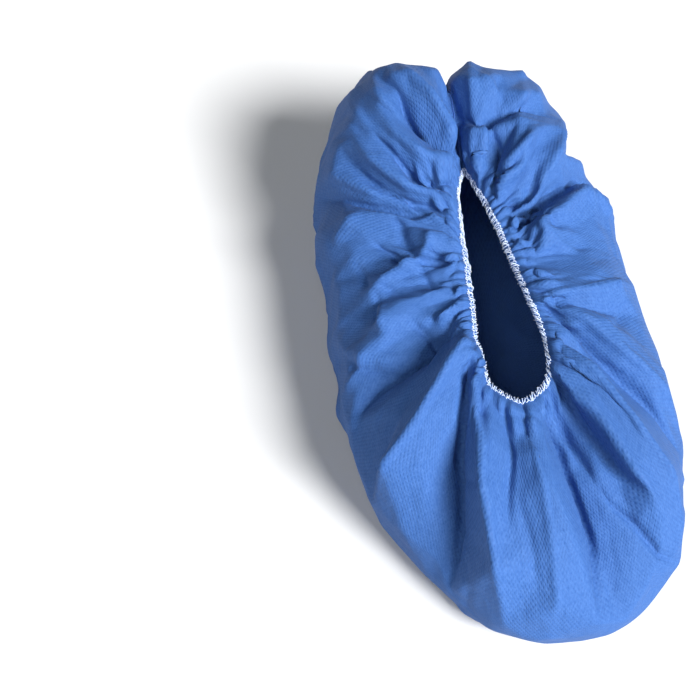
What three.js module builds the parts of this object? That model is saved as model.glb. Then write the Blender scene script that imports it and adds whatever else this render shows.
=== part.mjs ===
// Disposable shoe cover in nonwoven cloth, standing on its sole with the foot hollow open.
// Millimetres, +Z up, the toe points to -Y, the heel to +Y, and +X is the wearer's inner side.
// The cloth runs as one tube of constant girth: gathered into the elastic at the top, out over
// the crown to the widest line, then down and in to the foot line, where a hem lies on the floor.

import * as THREE from 'three';
import { mergeVertices } from 'three/addons/utils/BufferGeometryUtils.js';

// Driving dimensions
const wall = 1.2; // cloth
const gap = 0.3; // clearance between neighbouring pieces
const hemWidth = 7; // flat hem turned in on the floor
const soleThickness = 1.2;
const elasticRadius = 1.1;
const seamRadius = 0.9; // bead of the centre-back seam
const seamLift = 2.2; // bead axis above the middle of the cloth
const columns = 112; // around the cover
const crownRows = 12; // from the opening out to the widest line
const sideRows = 4; // from the widest line down to the foot line
const toeCrowding = 0.42; // columns lie closer at toe and heel, where the folds are
const gatherHeight = 1.1; // small gathers along the elastic, one for every four columns
const gatherReach = 0.24; // share of the crown that they run over

const edgeCalm = 0.07; // share of the crown where the cloth edge stays on the elastic

// Widest line of the cover, from the centre back past +X to the toe and back past -X
const widestLine = [
  { x: 0, y: 165, z: 53 },
  { x: 43, y: 168, z: 53 },
  { x: 68, y: 134, z: 48 },
  { x: 76, y: 88, z: 42 },
  { x: 83, y: 47, z: 39 },
  { x: 89, y: 8, z: 36 },
  { x: 92, y: -34, z: 34 },
  { x: 88, y: -75, z: 32 },
  { x: 82, y: -112, z: 28 },
  { x: 61, y: -142, z: 24 },
  { x: 22, y: -154, z: 21 },
  { x: -15, y: -147, z: 21 },
  { x: -41, y: -122, z: 24 },
  { x: -62, y: -92, z: 28 },
  { x: -75, y: -58, z: 32 },
  { x: -81, y: -23, z: 34 },
  { x: -82, y: 15, z: 36 },
  { x: -84, y: 55, z: 39 },
  { x: -83, y: 98, z: 43 },
  { x: -75, y: 141, z: 48 },
  { x: -43, y: 175, z: 53 },
];

// Foot line, where the cloth meets the floor, in the same order
const footLine = [
  { x: 0, y: 147 },
  { x: 34, y: 145 },
  { x: 55, y: 118 },
  { x: 61, y: 84 },
  { x: 67, y: 46 },
  { x: 73, y: 8 },
  { x: 76, y: -32 },
  { x: 73, y: -72 },
  { x: 66, y: -104 },
  { x: 48, y: -127 },
  { x: 20, y: -137 },
  { x: -12, y: -131 },
  { x: -32, y: -110 },
  { x: -48, y: -84 },
  { x: -59, y: -53 },
  { x: -65, y: -20 },
  { x: -67, y: 16 },
  { x: -68, y: 54 },
  { x: -67, y: 94 },
  { x: -60, y: 129 },
  { x: -34, y: 151 },
];

// Cloth edge round the opening, in the same order
const openingLine = [
  { x: -3, y: 91, z: 75 },
  { x: 3, y: 75, z: 78 },
  { x: 8, y: 52, z: 80 },
  { x: 13, y: 24, z: 81 },
  { x: 19, y: -5, z: 81 },
  { x: 22, y: -26, z: 80 },
  { x: 19, y: -41, z: 78 },
  { x: 6, y: -51, z: 77 },
  { x: -8, y: -41, z: 78 },
  { x: -12, y: -24, z: 80 },
  { x: -11, y: -5, z: 81 },
  { x: -10, y: 24, z: 81 },
  { x: -10, y: 52, z: 80 },
  { x: -9, y: 75, z: 78 },
];

// How far the crown stands above the straight run between the two lines
const crownRise = [
  { around: 0.0, rise: 38 },
  { around: 0.05, rise: 54 },
  { around: 0.1, rise: 44 },
  { around: 0.17, rise: 24 },
  { around: 0.25, rise: 18 },
  { around: 0.36, rise: 16 },
  { around: 0.5, rise: 15 },
  { around: 0.64, rise: 16 },
  { around: 0.75, rise: 18 },
  { around: 0.83, rise: 25 },
  { around: 0.9, rise: 48 },
  { around: 0.95, rise: 58 },
];

// Main folds. Each starts at the opening at "from" and reaches the widest line at "to", both as a
// share of the way around. Height is up for a ridge and down for a valley; width is a share too.
const folds = [
  { name: 'heel cleft', from: 0.0, to: 0.0, width: 0.03, height: -9, start: 0.0, end: 1.5 },
  { name: 'heel tuck right', from: 0.1, to: 0.125, width: 0.014, height: -5, start: 0.1, end: 1.3 },
  { name: 'right step', from: 0.15, to: 0.13, width: 0.016, height: 4, start: 0.2, end: 1.1 },
  { name: 'right panel', from: 0.22, to: 0.24, width: 0.03, height: 3, start: 0.1, end: 1.0 },
  { name: 'right long valley', from: 0.26, to: 0.35, width: 0.022, height: -6, start: 0.0, end: 1.1 },
  { name: 'right long ridge', from: 0.36, to: 0.385, width: 0.016, height: 3, start: 0.1, end: 1.0 },
  { name: 'toe valley F', from: 0.432, to: 0.42, width: 0.01, height: -5, start: 0.05, end: 1.1 },
  { name: 'toe ridge E', from: 0.444, to: 0.437, width: 0.012, height: 4, start: 0.1, end: 1.0 },
  { name: 'toe valley E', from: 0.466, to: 0.462, width: 0.01, height: -5, start: 0.05, end: 1.0 },
  { name: 'toe ridge D', from: 0.476, to: 0.483, width: 0.012, height: 4, start: 0.05, end: 1.0 },
  { name: 'toe valley D', from: 0.506, to: 0.508, width: 0.01, height: -4, start: 0.0, end: 0.85 },
  { name: 'toe ridge C', from: 0.53, to: 0.522, width: 0.009, height: 3, start: 0.0, end: 0.9 },
  { name: 'toe valley C', from: 0.552, to: 0.522, width: 0.009, height: -3, start: 0.0, end: 0.8 },
  { name: 'toe ridge B', from: 0.577, to: 0.536, width: 0.012, height: 4, start: 0.05, end: 1.0 },
  { name: 'toe valley B', from: 0.624, to: 0.553, width: 0.024, height: -5, start: 0.0, end: 1.1 },
  { name: 'toe ridge A', from: 0.672, to: 0.622, width: 0.024, height: 4, start: 0.05, end: 1.0 },
  { name: 'toe valley A', from: 0.7, to: 0.664, width: 0.02, height: -5, start: 0.1, end: 1.2 },
  { name: 'left crease', from: 0.7, to: 0.735, width: 0.016, height: -4, start: 0.15, end: 1.2 },
  { name: 'left bulge', from: 0.72, to: 0.765, width: 0.024, height: 5, start: 0.1, end: 1.1 },
  { name: 'left wrinkle low', from: 0.79, to: 0.79, width: 0.014, height: -4, start: 0.05, end: 0.9 },
  { name: 'left wrinkle high', from: 0.83, to: 0.85, width: 0.014, height: -4, start: 0.05, end: 0.8 },
  { name: 'heel tuck left', from: 0.88, to: 0.88, width: 0.014, height: -5, start: 0.1, end: 1.2 },
  { name: 'left lobe tuck', from: 0.95, to: 0.93, width: 0.012, height: -5, start: 0.1, end: 0.9 },
];

// Smooth helpers
const up = new THREE.Vector3(0, 0, 1);

function smoothStep(low, high, value) {
  const share = Math.min(1, Math.max(0, (value - low) / (high - low)));
  return share * share * (3 - 2 * share);
}

// Value of a table that closes on itself, eased between its rows
function aroundTable(rows, key, around) {
  const next = rows.findIndex((row) => row.around > around);
  const high = next < 0 ? { ...rows[0], around: 1 } : rows[next];
  const low = next < 0 ? rows[rows.length - 1] : rows[next - 1];
  const share = (around - low.around) / (high.around - low.around);
  return low[key] + (high[key] - low[key]) * (0.5 - 0.5 * Math.cos(Math.PI * share));
}

function closedCurve(rows) {
  const points = rows.map((row) => new THREE.Vector3(row.x, row.y, row.z ?? wall / 2));
  const curve = new THREE.CatmullRomCurve3(points, true, 'catmullrom', 0.5);
  curve.arcLengthDivisions = 1200;
  return curve;
}

const widestCurve = closedCurve(widestLine);
const footCurve = closedCurve(footLine);
const openingCurve = closedCurve(openingLine);

// Place of a column around the cover, 0 to 1, closer together at heel and toe
function aroundAt(column) {
  const share = column / columns;
  return share - (toeCrowding * Math.sin(4 * Math.PI * share)) / (4 * Math.PI);
}

// Plan direction square to a line, away from the foot
function outwardAt(curve, around) {
  const along = curve.getTangentAt(around);
  return new THREE.Vector3(-along.y, along.x, 0).normalize();
}

function bezier(points, share) {
  return new THREE.CubicBezierCurve3(...points).getPoint(share);
}

// One column of the cloth before its folds: crown, side, then the flat hem
function plainColumn(around) {
  const opening = openingCurve.getPointAt(around);
  const widest = widestCurve.getPointAt(around);
  const outward = outwardAt(widestCurve, around);
  const rise = aroundTable(crownRise, 'rise', around);
  const run = widest.clone().sub(opening).setZ(0);
  const crown = [
    opening,
    opening.clone().addScaledVector(run, 0.35).addScaledVector(up, rise * 0.75),
    widest.clone().addScaledVector(outward, 2).addScaledVector(up, rise + 14),
    widest,
  ];
  const foot = footCurve.getPointAt(around);
  const footOutward = outwardAt(footCurve, around);
  const fall = widest.clone().sub(crown[2]).normalize();
  const side = [
    widest,
    widest.clone().addScaledVector(fall, widest.z * 0.55),
    foot.clone().addScaledVector(footOutward, 10),
    foot,
  ];
  const places = [];
  for (let row = 0; row <= crownRows; row += 1) {
    const share = row / crownRows;
    places.push({ point: bezier(crown, share), down: share });
  }
  for (let row = 1; row <= sideRows; row += 1) {
    const share = row / sideRows;
    places.push({ point: bezier(side, share), down: 1 + share });
  }
  places.push({ point: foot.clone().addScaledVector(footOutward, -hemWidth), down: 2.2 });
  return places;
}

// How far the folds lift the cloth at a place; "down" is 0 at the opening, 1 at the widest line
function foldHeight(around, down, column) {
  let height = 0;
  for (const fold of folds) {
    const middle = fold.from + (fold.to - fold.from) * Math.min(1, down);
    let aside = Math.abs(around - middle);
    aside = Math.min(aside, 1 - aside) / fold.width;
    if (aside < 1.6) {
      const reach = smoothStep(fold.start - 0.1, fold.start + 0.15, down)
        * (1 - smoothStep(fold.end - 0.35, fold.end + 0.1, down));
      height += fold.height * reach * Math.exp(-1.6 * aside * aside);
    }
  }
  height += gatherHeight * [1, 0, -1, 0][column % 4] * (1 - smoothStep(0.05, gatherReach, down));
  return height * smoothStep(0, edgeCalm, down);
}

// Normals of a grid that wraps around its columns, pointing away from the foot
function gridNormals(grid) {
  return grid.map((places, column) => places.map((place, row) => {
    const before = grid[(column + columns - 1) % columns][row].point;
    const after = grid[(column + 1) % columns][row].point;
    const above = places[Math.max(0, row - 1)].point;
    const below = places[Math.min(places.length - 1, row + 1)].point;
    const around = after.clone().sub(before);
    return around.cross(below.clone().sub(above)).normalize();
  }));
}

function clothGrid() {
  const plain = [];
  for (let column = 0; column < columns; column += 1) plain.push(plainColumn(aroundAt(column)));
  const normals = gridNormals(plain);
  return plain.map((places, column) => places.map((place, row) => ({
    down: place.down,
    point: place.point.clone().addScaledVector(
      normals[column][row],
      foldHeight(aroundAt(column), place.down, column),
    ),
  })));
}

function meshFrom(name, geometry, material) {
  const bare = geometry.clone();
  bare.deleteAttribute('normal');
  bare.deleteAttribute('uv');
  const solid = mergeVertices(bare, 1e-4);
  solid.computeVertexNormals();
  const mesh = new THREE.Mesh(solid, material);
  mesh.name = name;
  return mesh;
}

// Closed wall: the grid pushed out and in by half the cloth, joined at the opening and at the hem
function wallGeometry(grid, thickness) {
  const normals = gridNormals(grid);
  const rows = grid[0].length;
  const positions = [];
  for (const side of [0.5, -0.5]) {
    for (let column = 0; column < columns; column += 1) {
      for (let row = 0; row < rows; row += 1) {
        const point = grid[column][row].point.clone();
        point.addScaledVector(normals[column][row], side * thickness);
        if (row === rows - 1) point.setZ(wall / 2 - side * wall);
        positions.push(point.x, point.y, point.z);
      }
    }
  }
  const at = (layer, column, row) => (layer * columns + (column % columns)) * rows + row;
  const faces = [];
  const quad = (a, b, c, d) => faces.push(a, b, c, a, c, d);
  for (let column = 0; column < columns; column += 1) {
    for (let row = 0; row < rows - 1; row += 1) {
      quad(at(0, column, row), at(0, column + 1, row), at(0, column + 1, row + 1), at(0, column, row + 1));
      quad(at(1, column, row), at(1, column, row + 1), at(1, column + 1, row + 1), at(1, column + 1, row));
    }
    quad(at(0, column, 0), at(1, column, 0), at(1, column + 1, 0), at(0, column + 1, 0));
    const last = rows - 1;
    quad(at(0, column, last), at(0, column + 1, last), at(1, column + 1, last), at(1, column, last));
  }
  const geometry = new THREE.BufferGeometry();
  geometry.setAttribute('position', new THREE.Float32BufferAttribute(positions, 3));
  geometry.setIndex(faces);
  return geometry;
}

// Sole sheet: the outline left free by the hem, flat on the floor
function soleGeometry(grid) {
  const outline = grid.map((places, column) => {
    const inner = places[places.length - 1].point.clone();
    return inner.addScaledVector(outwardAt(footCurve, aroundAt(column)), -gap);
  });
  const shape = new THREE.Shape(outline.map((point) => new THREE.Vector2(point.x, point.y)));
  return new THREE.ExtrudeGeometry(shape, { depth: soleThickness, bevelEnabled: false });
}

// Elastic: a ring just past the cloth edge, in line with the cloth there
function elasticGeometry() {
  const stations = 40;
  const beyond = elasticRadius + 3 * gap;
  const points = [];
  for (let station = 0; station < stations; station += 1) {
    const around = station / stations;
    const [edge, next] = plainColumn(around);
    const inward = edge.point.clone().sub(next.point).normalize();
    points.push(edge.point.clone().addScaledVector(inward, beyond));
  }
  const ring = new THREE.CatmullRomCurve3(points, true, 'catmullrom', 0.5);
  return new THREE.TubeGeometry(ring, 60, elasticRadius, 6, true);
}

// Seam bead down the centre back, lying in the heel cleft
function seamGeometry(grid) {
  const normals = gridNormals(grid);
  const points = [];
  for (let row = 1; row <= crownRows + sideRows - 1; row += 1) {
    points.push(grid[0][row].point.clone().addScaledVector(normals[0][row], seamLift));
  }
  const outline = [];
  const sides = 6;
  for (let side = 0; side < sides; side += 1) {
    const turn = (2 * Math.PI * side) / sides;
    outline.push(new THREE.Vector2(seamRadius * Math.cos(turn), seamRadius * Math.sin(turn)));
  }
  return new THREE.ExtrudeGeometry(new THREE.Shape(outline), {
    steps: 20,
    extrudePath: new THREE.CatmullRomCurve3(points, false, 'catmullrom', 0.5),
  });
}

const materials = {
  cloth: new THREE.MeshStandardMaterial({ color: 0x5585d6, roughness: 0.82, metalness: 0 }),
  sole: new THREE.MeshStandardMaterial({ color: 0x0a1b40, roughness: 0.7, metalness: 0 }),
  elastic: new THREE.MeshStandardMaterial({ color: 0xe6ecf5, roughness: 0.75, metalness: 0 }),
  seam: new THREE.MeshStandardMaterial({ color: 0x4173c4, roughness: 0.8, metalness: 0 }),
};

const grid = clothGrid();
const pieces = [
  meshFrom('upper', wallGeometry(grid, wall), materials.cloth),
  meshFrom('sole', soleGeometry(grid), materials.sole),
  meshFrom('opening_elastic', elasticGeometry(), materials.elastic),
  meshFrom('heel_seam', seamGeometry(grid), materials.seam),
];

// The origin is the middle of the footprint, on the floor
const shoeCover = new THREE.Group();
shoeCover.add(...pieces);
const box = new THREE.Box3().setFromObject(shoeCover);
shoeCover.position.set(-(box.min.x + box.max.x) / 2, -(box.min.y + box.max.y) / 2, -box.min.z);

export default shoeCover;
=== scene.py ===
import math

import bpy
import numpy as np
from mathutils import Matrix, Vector
from mathutils.geometry import delaunay_2d_cdt


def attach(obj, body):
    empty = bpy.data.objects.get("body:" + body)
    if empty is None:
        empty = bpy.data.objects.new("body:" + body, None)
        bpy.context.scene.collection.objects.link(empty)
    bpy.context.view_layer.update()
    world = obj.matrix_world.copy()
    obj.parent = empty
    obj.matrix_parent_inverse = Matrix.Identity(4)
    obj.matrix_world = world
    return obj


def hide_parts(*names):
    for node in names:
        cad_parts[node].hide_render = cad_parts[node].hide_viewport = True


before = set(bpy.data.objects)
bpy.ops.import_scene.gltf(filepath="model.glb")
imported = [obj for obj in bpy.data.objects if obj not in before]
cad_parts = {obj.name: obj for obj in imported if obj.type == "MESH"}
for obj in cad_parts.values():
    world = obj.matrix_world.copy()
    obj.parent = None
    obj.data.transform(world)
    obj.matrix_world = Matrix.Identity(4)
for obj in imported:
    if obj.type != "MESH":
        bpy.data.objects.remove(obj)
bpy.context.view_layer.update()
mm = 0.001
up = np.array([0.0, 0.0, 1.0])
middleShift = np.array([-3.1, -10.5, 0.0])   # puts the middle of the lines below at the origin, mm

# closed lines from the heel seam by the right side, which is +X, to the toe and back: x, y, z in mm
widestLine = [
    (-7, 166, 53), (38, 166, 53), (58, 140, 49), (67, 112, 45), (75, 88, 42), (82, 47, 39), (88, 8, 36),
    (92, -34, 34), (90, -75, 32), (83, -112, 28), (71, -139, 24), (26, -154, 21), (-13, -146, 21),
    (-39, -120, 24), (-60, -91, 28), (-75, -58, 32), (-81, -23, 34), (-82, 15, 36), (-85, 55, 39),
    (-85, 98, 43), (-76, 140, 48), (-46, 172, 53),
]
# the hem's line on the floor: x, y
footLine = [
    (0, 147), (34, 145), (55, 118), (61, 84), (67, 46), (73, 8), (76, -32), (73, -72), (66, -104),
    (48, -127), (20, -137), (-12, -131), (-32, -110), (-48, -84), (-59, -53), (-65, -20), (-67, 16),
    (-68, 54), (-67, 94), (-60, 129), (-34, 151),
]
openingLine = [
    (-3, 91, 77), (3, 75, 78), (8, 52, 80), (13, 24, 81), (19, -5, 81), (22, -26, 80), (19, -41, 78),
    (6, -51, 77), (-8, -41, 78), (-12, -24, 80), (-11, -5, 81), (-10, 24, 81), (-10, 52, 80), (-9, 75, 78),
]
# share of the way around, and how far the crown is pulled up between the opening and the side, mm
crownRise = [
    (0, 46), (.05, 49), (.1, 42), (.135, 32), (.17, 25), (.25, 18), (.36, 16), (.5, 15), (.64, 16),
    (.75, 18), (.83, 25), (.9, 46), (.95, 54),
]
floorGap = 0.3      # how far above the floor the hem's line lies, mm


# shapes that the pieces are built with

def closedLine(rows, count, fine=60):
    # a smooth closed curve through the rows, as evenly spaced points
    points = np.array([row if len(row) > 2 else (*row, floorGap) for row in rows], float)
    points = (points + middleShift) * mm
    share = np.linspace(0, 1, fine, endpoint=False)[:, None]
    parts = []
    for i in range(len(points)):
        before, here, after, later = (points[(i + k) % len(points)] for k in (-1, 0, 1, 2))
        bend = 2 * before - 5 * here + 4 * after - later
        twist = 3 * here - before - 3 * after + later
        parts.append(0.5 * (2 * here + (after - before) * share + bend * share ** 2 + twist * share ** 3))
    line = np.concatenate(parts + [parts[0][:1]])
    run = np.concatenate([[0], np.cumsum(np.linalg.norm(np.diff(line, axis=0), axis=1))])
    at = np.linspace(0, run[-1], count, endpoint=False)
    return np.stack([np.interp(at, run, line[:, k]) for k in range(3)], 1)


def outwardOf(line):
    # the level way out of a closed line, at each of its points
    along = np.roll(line, -1, 0) - np.roll(line, 1, 0)
    out = np.stack([-along[:, 1], along[:, 0], 0 * along[:, 0]], 1)
    return out / np.linalg.norm(out, axis=1)[:, None]


def aroundTable(rows, around):
    # values between the rows of a table that runs once round
    places = np.array([row[0] for row in rows] + [1.0])
    values = np.array([row[1] for row in rows] + [rows[0][1]], float)
    index = np.clip(np.searchsorted(places, around, side="right") - 1, 0, len(places) - 2)
    share = (around - places[index]) / (places[index + 1] - places[index])
    return values[index] + (values[index + 1] - values[index]) * (0.5 - 0.5 * np.cos(np.pi * share))


def smoothStep(low, high, value):
    share = np.clip((value - low) / (high - low), 0, 1)
    return share * share * (3 - 2 * share)


def bezier(start, pull, endPull, end, share):
    s = share[:, None, None]
    return (1 - s) ** 3 * start + 3 * s * (1 - s) ** 2 * pull + 3 * s * s * (1 - s) * endPull + s ** 3 * end


def gridNormals(grid):
    aroundWay = np.roll(grid, -1, 1) - np.roll(grid, 1, 1)
    downWay = np.gradient(grid, axis=0)
    normal = np.cross(aroundWay, downWay)
    return normal / np.maximum(np.linalg.norm(normal, axis=2), 1e-9)[:, :, None]


def refined(grid):
    # one smooth subdivision of a closed band of points, rows first and then columns
    def split(points, wrap):
        before = np.roll(points, 1, 0) if wrap else np.concatenate([points[:1], points[:-1]])
        after = np.roll(points, -1, 0) if wrap else np.concatenate([points[1:], points[-1:]])
        corner = points * 0.75 + (before + after) * 0.125
        if not wrap:
            corner[0] = points[0]
            corner[-1] = points[-1]
        out = np.empty((len(points) * 2,) + points.shape[1:])
        out[0::2] = corner
        out[1::2] = (points + after) / 2
        return out if wrap else out[:-1]
    grid = split(grid, False)
    return np.swapaxes(split(np.swapaxes(grid, 0, 1), True), 0, 1)


def softened(grid):
    # rounds the creases by about one point's distance
    grid = (np.roll(grid, 1, 1) + 2 * grid + np.roll(grid, -1, 1)) / 4
    grid[1:-1] = (grid[:-2] + 2 * grid[1:-1] + grid[2:]) / 4
    return grid


def bandFaces(rows, columns):
    # the quads of a closed band
    index = np.arange(rows * columns).reshape(rows, columns)
    beside = np.roll(index, -1, 1)
    return np.stack([index[:-1], index[1:], beside[1:], beside[:-1]], 2).reshape(-1, 4)


def addObject(name, points, faces):
    mesh = bpy.data.meshes.new(name)
    mesh.from_pydata(points.tolist(), [], faces)
    piece = bpy.data.objects.new(name, mesh)
    bpy.context.collection.objects.link(piece)
    return piece


def finishMesh(piece, material):
    mesh = piece.data
    mesh.polygons.foreach_set("use_smooth", np.ones(len(mesh.polygons), bool))
    mesh.materials.append(material)
    mesh.update()


def addWall(piece, thickness):
    wall = piece.modifiers.new("thickness", "SOLIDIFY")
    wall.thickness = thickness
    wall.offset = -1


def sheetObject(name, grid, across, along, material):
    # a closed band of quads with its cut size, in metres, as its UV map
    rows, columns = grid.shape[:2]
    piece = addObject(name, grid.reshape(-1, 3), bandFaces(rows, columns).tolist())
    u = np.tile(np.arange(columns), (rows - 1, 1))
    v = np.tile(np.arange(rows - 1)[:, None], (1, columns))
    uAt = np.stack([u, u, u + 1, u + 1], 2) * (across / columns)
    vAt = along[np.stack([v, v + 1, v + 1, v], 2)]
    uvMap = piece.data.uv_layers.new(name="cut")
    uvMap.data.foreach_set("uv", np.stack([uAt, vAt], 3).astype(np.float32).reshape(-1))
    finishMesh(piece, material)
    return piece


def threadTube(path, radius, sides):
    # corner points and faces of a round thread along a closed path
    ahead = np.roll(path, -1, 0) - np.roll(path, 1, 0)
    ahead /= np.maximum(np.linalg.norm(ahead, axis=1), 1e-12)[:, None]
    side = np.cross(ahead, up)
    side /= np.maximum(np.linalg.norm(side, axis=1), 1e-6)[:, None]
    over = np.cross(side, ahead)
    turn = np.arange(sides) / sides * 2 * np.pi
    ring = side[:, None] * np.cos(turn)[None, :, None] + over[:, None] * np.sin(turn)[None, :, None]
    points = path[:, None] + ring * radius
    index = np.arange(len(path) * sides).reshape(len(path), sides)
    beside = np.roll(index, -1, 1)
    nextRing = np.roll(index, -1, 0)
    nextBeside = np.roll(nextRing, -1, 1)
    faces = np.stack([index, beside, nextBeside, nextRing], 2).reshape(-1, 4)
    return points.reshape(-1, 3), faces.tolist()


def joinedObject(name, parts, material):
    # one object of several closed threads
    points = []
    faces = []
    start = 0
    for partPoints, partFaces in parts:
        points.append(partPoints)
        faces += [[corner + start for corner in face] for face in partFaces]
        start += len(partPoints)
    piece = addObject(name, np.concatenate(points), faces)
    finishMesh(piece, material)
    return piece


# the cloth's node group and the materials

def addNode(tree, kind, place=(0, 0), **values):
    node = tree.nodes.new(kind)
    node.location = place
    for name, value in values.items():
        if hasattr(node, name):
            setattr(node, name, value)
        else:
            node.inputs[name].default_value = value
    return node


def mathNode(tree, operation, first, second=None, clamp=False):
    node = tree.nodes.new("ShaderNodeMath")
    node.operation = operation
    node.use_clamp = clamp
    for socket, value in zip(node.inputs, (first, second)):
        if value is None:
            continue
        if isinstance(value, (int, float)):
            socket.default_value = value
        else:
            tree.links.new(value, socket)
    return node.outputs[0]


def bondedFleeceGroup():
    # spunbond cloth: diagonal rows of bond points, matted fibres and paper-like creases
    group = bpy.data.node_groups.new("bondedFleece", "ShaderNodeTree")
    face = group.interface
    face.new_socket(name="Place", in_out="INPUT", socket_type="NodeSocketVector")
    for name in ("Pitch", "Crease", "Facet"):
        face.new_socket(name=name, in_out="INPUT", socket_type="NodeSocketFloat")
    for name in ("Points", "Fibres", "Height"):
        face.new_socket(name=name, in_out="OUTPUT", socket_type="NodeSocketFloat")
    start = addNode(group, "NodeGroupInput", (-900, 0))
    end = addNode(group, "NodeGroupOutput", (900, 0))
    parts = addNode(group, "ShaderNodeSeparateXYZ", (-700, 200))
    group.links.new(start.outputs["Place"], parts.inputs[0])
    rate = mathNode(group, "DIVIDE", 2 * math.pi, start.outputs["Pitch"])
    total = mathNode(group, "ADD", parts.outputs["X"], parts.outputs["Y"])
    gap = mathNode(group, "SUBTRACT", parts.outputs["X"], parts.outputs["Y"])
    first = mathNode(group, "COSINE", mathNode(group, "MULTIPLY", total, rate))
    second = mathNode(group, "COSINE", mathNode(group, "MULTIPLY", gap, rate))
    both = mathNode(group, "ADD", first, mathNode(group, "MULTIPLY", second, 0.75))
    points = mathNode(group, "MULTIPLY", mathNode(group, "ADD", both, 0.1), 0.55, clamp=True)
    fibres = addNode(group, "ShaderNodeTexNoise", (-300, -100), Scale=900.0, Detail=3.0, Roughness=0.6)
    longFibres = addNode(group, "ShaderNodeTexNoise", (-300, -300), Scale=430.0, Detail=4.0,
                         Roughness=0.65, Distortion=0.6)
    creases = addNode(group, "ShaderNodeTexNoise", (-300, -500), Scale=42.0, Detail=3.5,
                      Roughness=0.5, Distortion=0.6)
    creases.noise_type = "RIDGED_MULTIFRACTAL"
    creases.normalize = False
    broadFacets = addNode(group, "ShaderNodeTexVoronoi", (-300, -700),
                          feature="DISTANCE_TO_EDGE", Scale=70.0)
    smallFacets = addNode(group, "ShaderNodeTexVoronoi", (-300, -900),
                          feature="DISTANCE_TO_EDGE", Scale=165.0)
    for noise in (fibres, longFibres, creases, broadFacets, smallFacets):
        group.links.new(start.outputs["Place"], noise.inputs["Vector"])
    matted = mathNode(group, "ADD", mathNode(group, "MULTIPLY", fibres.outputs["Fac"], 0.6),
                      mathNode(group, "MULTIPLY", longFibres.outputs["Fac"], 0.4))
    folded = mathNode(group, "MULTIPLY", creases.outputs["Fac"], start.outputs["Crease"])
    roofs = mathNode(group, "ADD", broadFacets.outputs["Distance"],
                     mathNode(group, "MULTIPLY", smallFacets.outputs["Distance"], 0.3))
    folded = mathNode(group, "ADD", folded, mathNode(group, "MULTIPLY", roofs, start.outputs["Facet"]))
    height = mathNode(group, "SUBTRACT", mathNode(group, "MULTIPLY", matted, 0.45),
                      mathNode(group, "MULTIPLY", points, 0.65))
    height = mathNode(group, "ADD", height, folded)
    for name, value in (("Points", points), ("Fibres", matted), ("Height", height)):
        group.links.new(value, end.inputs[name])
    return group


fleeceGroup = bondedFleeceGroup()


def toneRamp(tree, place, stops, look):
    # from the finish's deep colour to its pale one
    tone = addNode(tree, "ShaderNodeValToRGB", place)
    for element, stop, colour in zip(tone.color_ramp.elements, stops, (look["deep"], look["pale"])):
        element.position = stop
        element.color = (*colour, 1)
    return tone


def clothMaterial(name, look):
    material = bpy.data.materials.new(name)
    material.use_nodes = True
    tree = material.node_tree
    shader = tree.nodes["Principled BSDF"]
    place = addNode(tree, "ShaderNodeUVMap", (-1100, 0), uv_map="cut")
    fleece = addNode(tree, "ShaderNodeGroup", (-850, 0))
    fleece.node_tree = fleeceGroup
    tree.links.new(place.outputs["UV"], fleece.inputs["Place"])
    fleece.inputs["Pitch"].default_value = look["pitch"]
    fleece.inputs["Crease"].default_value = look["crease"]
    fleece.inputs["Facet"].default_value = look["facet"]
    tone = toneRamp(tree, (-550, 200), (0.32, 0.68), look)
    tree.links.new(fleece.outputs["Fibres"], tone.inputs["Fac"])
    dotted = addNode(tree, "ShaderNodeMix", (-250, 200), data_type="RGBA", blend_type="MULTIPLY")
    dotted.inputs[7].default_value = (*look["pointTint"], 1)
    tree.links.new(fleece.outputs["Points"], dotted.inputs[0])
    tree.links.new(tone.outputs["Color"], dotted.inputs[6])
    tree.links.new(dotted.outputs[2], shader.inputs["Base Color"])
    rough = addNode(tree, "ShaderNodeMapRange", (-250, -50))
    rough.inputs["To Min"].default_value = look["rough"]
    rough.inputs["To Max"].default_value = look["rough"] - 0.16     # the bond points are melted smooth
    tree.links.new(fleece.outputs["Points"], rough.inputs["Value"])
    tree.links.new(rough.outputs["Result"], shader.inputs["Roughness"])
    bump = addNode(tree, "ShaderNodeBump", (-250, -300), Strength=look["bump"],
                   Distance=look["bumpDepth"])
    tree.links.new(fleece.outputs["Height"], bump.inputs["Height"])
    tree.links.new(bump.outputs["Normal"], shader.inputs["Normal"])
    shader.inputs["Specular IOR Level"].default_value = look["gloss"]
    shader.inputs["Sheen Weight"].default_value = look["sheen"]
    shader.inputs["Sheen Roughness"].default_value = 0.45
    shader.inputs["Sheen Tint"].default_value = (0.75, 0.86, 1.0, 1)
    return material


def threadMaterial(name, look):
    material = bpy.data.materials.new(name)
    material.use_nodes = True
    tree = material.node_tree
    shader = tree.nodes["Principled BSDF"]
    place = addNode(tree, "ShaderNodeTexCoord", (-1000, 0))
    strands = addNode(tree, "ShaderNodeTexNoise", (-750, 100), Scale=look["scale"], Detail=4.0,
                      Roughness=0.7)
    tree.links.new(place.outputs["Object"], strands.inputs["Vector"])
    tone = toneRamp(tree, (-500, 150), (0.35, 0.62), look)
    tree.links.new(strands.outputs["Fac"], tone.inputs["Fac"])
    tree.links.new(tone.outputs["Color"], shader.inputs["Base Color"])
    bump = addNode(tree, "ShaderNodeBump", (-500, -150), Strength=0.5, Distance=0.0002)
    tree.links.new(strands.outputs["Fac"], bump.inputs["Height"])
    tree.links.new(bump.outputs["Normal"], shader.inputs["Normal"])
    shader.inputs["Roughness"].default_value = look["rough"]
    shader.inputs["Sheen Weight"].default_value = 0.3
    return material


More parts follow.
